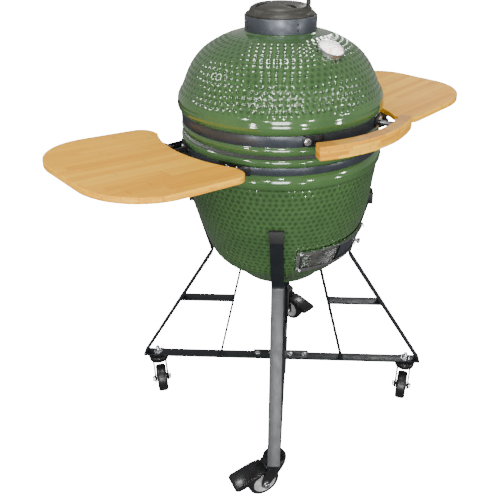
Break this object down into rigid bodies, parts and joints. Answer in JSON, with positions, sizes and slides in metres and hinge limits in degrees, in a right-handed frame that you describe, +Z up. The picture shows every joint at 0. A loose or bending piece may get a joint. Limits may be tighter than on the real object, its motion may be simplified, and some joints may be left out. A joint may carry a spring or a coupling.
{
  "type": "ceramic kamado charcoal grill on a rolling stand",
  "caption": "Egg-shaped ceramic kamado charcoal grill with hinged lid, top damper, draft door, bamboo handle and folding bamboo side shelves on a flat-bar caster stand.",
  "frame": {"origin": "on the floor under the middle of the whole grill, which is also the kamado's vertical axis", "axes": "+Z up, -Y is the front with the handle and draft door, +X points to the shelf on the right as seen from the front"},
  "size_m": [1.2262, 0.6884, 1.239],
  "materials": {
    "green_ceramic": "glossy green glaze over dimpled ceramic",
    "dark_steel": "satin dark grey powder coat",
    "black_steel": "satin black powder coat",
    "stand_steel": "satin grey-black powder coat",
    "black_felt": "black felt",
    "fire_clay": "bare fired clay",
    "cast_iron": "coated cast iron",
    "stainless": "brushed stainless steel",
    "zinc": "bright zinc plate",
    "bamboo": "lacquered laminated bamboo",
    "dial_white": "printed pale dial",
    "clear_glass": "clear glass",
    "needle_red": "painted red",
    "black_rubber": "matt black rubber",
    "caster_plastic": "moulded black nylon",
    "caster_tread": "black tread rubber"
  },
  "bodies": {
    "base": {"base_shell": "green_ceramic", "base_band": "dark_steel", "base_gasket": "black_felt", "fire_box": "fire_clay", "fire_ring": "fire_clay", "charcoal_grate": "cast_iron", "cooking_grid": "stainless", "vent_frame": "stainless", "vent_bolts": "stainless", "hinge_base_bracket": "black_steel", "hinge_pin": "zinc", "hinge_springs": "zinc", "cross_connector": "stand_steel", "connector_bolts": "zinc", "bowl_pads": "black_rubber", "caster_stems": "zinc", "shelf_brackets": "black_steel", "shelf_pins": "zinc", "strap_bolts": "zinc", "stand_frame_front_left": "stand_steel", "stand_frame_front_right": "stand_steel", "stand_frame_rear_right": "stand_steel", "stand_frame_rear_left": "stand_steel"},
    "lid": {"dome_shell": "green_ceramic", "lid_band": "dark_steel", "lid_gasket": "black_felt", "hinge_lid_bracket": "black_steel", "handle_grip": "bamboo", "handle_brackets": "black_steel", "handle_bolts": "zinc", "damper_collar": "cast_iron", "thermometer_housing": "stainless", "thermometer_dial": "dial_white", "thermometer_glass": "clear_glass"},
    "damper": {"damper_cap": "cast_iron", "damper_knob": "black_steel"},
    "needle": {"thermometer_needle": "needle_red"},
    "draft_door": {"draft_door": "dark_steel", "draft_door_knob": "stainless"},
    "draft_screen": {"draft_screen": "stainless"},
    "shelf_left": {"shelf_board_left": "bamboo", "shelf_arms_left": "black_steel"},
    "shelf_right": {"shelf_board_right": "bamboo", "shelf_arms_right": "black_steel"},
    "caster_front_left": {"caster_fork_front_left": "black_steel"},
    "wheel_front_left": {"caster_wheel_front_left": "caster_plastic", "caster_tyre_front_left": "caster_tread"},
    "brake_front_left": {"brake_pedal_front_left": "caster_plastic"},
    "caster_front_right": {"caster_fork_front_right": "black_steel"},
    "wheel_front_right": {"caster_wheel_front_right": "caster_plastic", "caster_tyre_front_right": "caster_tread"},
    "caster_rear_right": {"caster_fork_rear_right": "black_steel"},
    "wheel_rear_right": {"caster_wheel_rear_right": "caster_plastic", "caster_tyre_rear_right": "caster_tread"},
    "brake_rear_right": {"brake_pedal_rear_right": "caster_plastic"},
    "caster_rear_left": {"caster_fork_rear_left": "black_steel"},
    "wheel_rear_left": {"caster_wheel_rear_left": "caster_plastic", "caster_tyre_rear_left": "caster_tread"}
  },
  "joints": [
    {"name": "lid_hinge", "type": "hinge", "parent": "base", "child": "lid", "pos_m": [0, 0.304, 0.93], "axis": [-1, 0, 0], "range_deg": [0, 70]},
    {"name": "damper_spin", "type": "hinge", "parent": "lid", "child": "damper", "pos_m": [0, 0, 1.2033], "axis": [0, 0, 1], "continuous": true},
    {"name": "needle_sweep", "type": "hinge", "parent": "lid", "child": "needle", "pos_m": [0, -0.17092, 1.14476], "axis": [0, 0.4226, -0.9063], "range_deg": [0, 250]},
    {"name": "draft_door_slide", "type": "hinge", "parent": "base", "child": "draft_door", "pos_m": [0, 0, 0.626], "axis": [0, 0, -1], "range_deg": [0, 25]},
    {"name": "draft_screen_slide", "type": "hinge", "parent": "base", "child": "draft_screen", "pos_m": [0, 0, 0.626], "axis": [0, 0, 1], "range_deg": [0, 25]},
    {"name": "shelf_fold_left", "type": "hinge", "parent": "base", "child": "shelf_left", "pos_m": [-0.298, 0, 0.9], "axis": [0, -1, 0], "range_deg": [0, 90]},
    {"name": "shelf_fold_right", "type": "hinge", "parent": "base", "child": "shelf_right", "pos_m": [0.298, 0, 0.9], "axis": [0, 1, 0], "range_deg": [0, 90]},
    {"name": "caster_swivel_front_left", "type": "hinge", "parent": "base", "child": "caster_front_left", "pos_m": [-0.29416, -0.29416, 0.113], "axis": [0, 0, 1], "continuous": true},
    {"name": "wheel_spin_front_left", "type": "hinge", "parent": "caster_front_left", "child": "wheel_front_left", "pos_m": [-0.33086, -0.28432, 0.046], "axis": [-0.2588, -0.9659, 0], "continuous": true},
    {"name": "brake_press_front_left", "type": "hinge", "parent": "caster_front_left", "child": "brake_front_left", "pos_m": [-0.32217, -0.28665, 0.0984], "axis": [-0.2588, -0.9659, 0], "range_deg": [0, 7], "stiffness_Nm_per_rad": 6},
    {"name": "caster_swivel_front_right", "type": "hinge", "parent": "base", "child": "caster_front_right", "pos_m": [0.29416, -0.29416, 0.113], "axis": [0, 0, 1], "continuous": true},
    {"name": "wheel_spin_front_right", "type": "hinge", "parent": "caster_front_right", "child": "wheel_front_right", "pos_m": [0.26158, -0.31373, 0.046], "axis": [0.515, -0.8572, 0], "continuous": true},
    {"name": "caster_swivel_rear_right", "type": "hinge", "parent": "base", "child": "caster_rear_right", "pos_m": [0.29416, 0.29416, 0.113], "axis": [0, 0, 1], "continuous": true},
    {"name": "wheel_spin_rear_right", "type": "hinge", "parent": "caster_rear_right", "child": "wheel_rear_right", "pos_m": [0.29747, 0.2563, 0.046], "axis": [0.9962, 0.0872, 0], "continuous": true},
    {"name": "brake_press_rear_right", "type": "hinge", "parent": "caster_rear_right", "child": "brake_rear_right", "pos_m": [0.29668, 0.26527, 0.0984], "axis": [0.9962, 0.0872, 0], "range_deg": [0, 7], "stiffness_Nm_per_rad": 6},
    {"name": "caster_swivel_rear_left", "type": "hinge", "parent": "base", "child": "caster_rear_left", "pos_m": [-0.29416, 0.29416, 0.113], "axis": [0, 0, 1], "continuous": true},
    {"name": "wheel_spin_rear_left", "type": "hinge", "parent": "caster_rear_left", "child": "wheel_rear_left", "pos_m": [-0.31082, 0.26, 0.046], "axis": [0.8988, -0.4384, 0], "continuous": true}
  ]
}
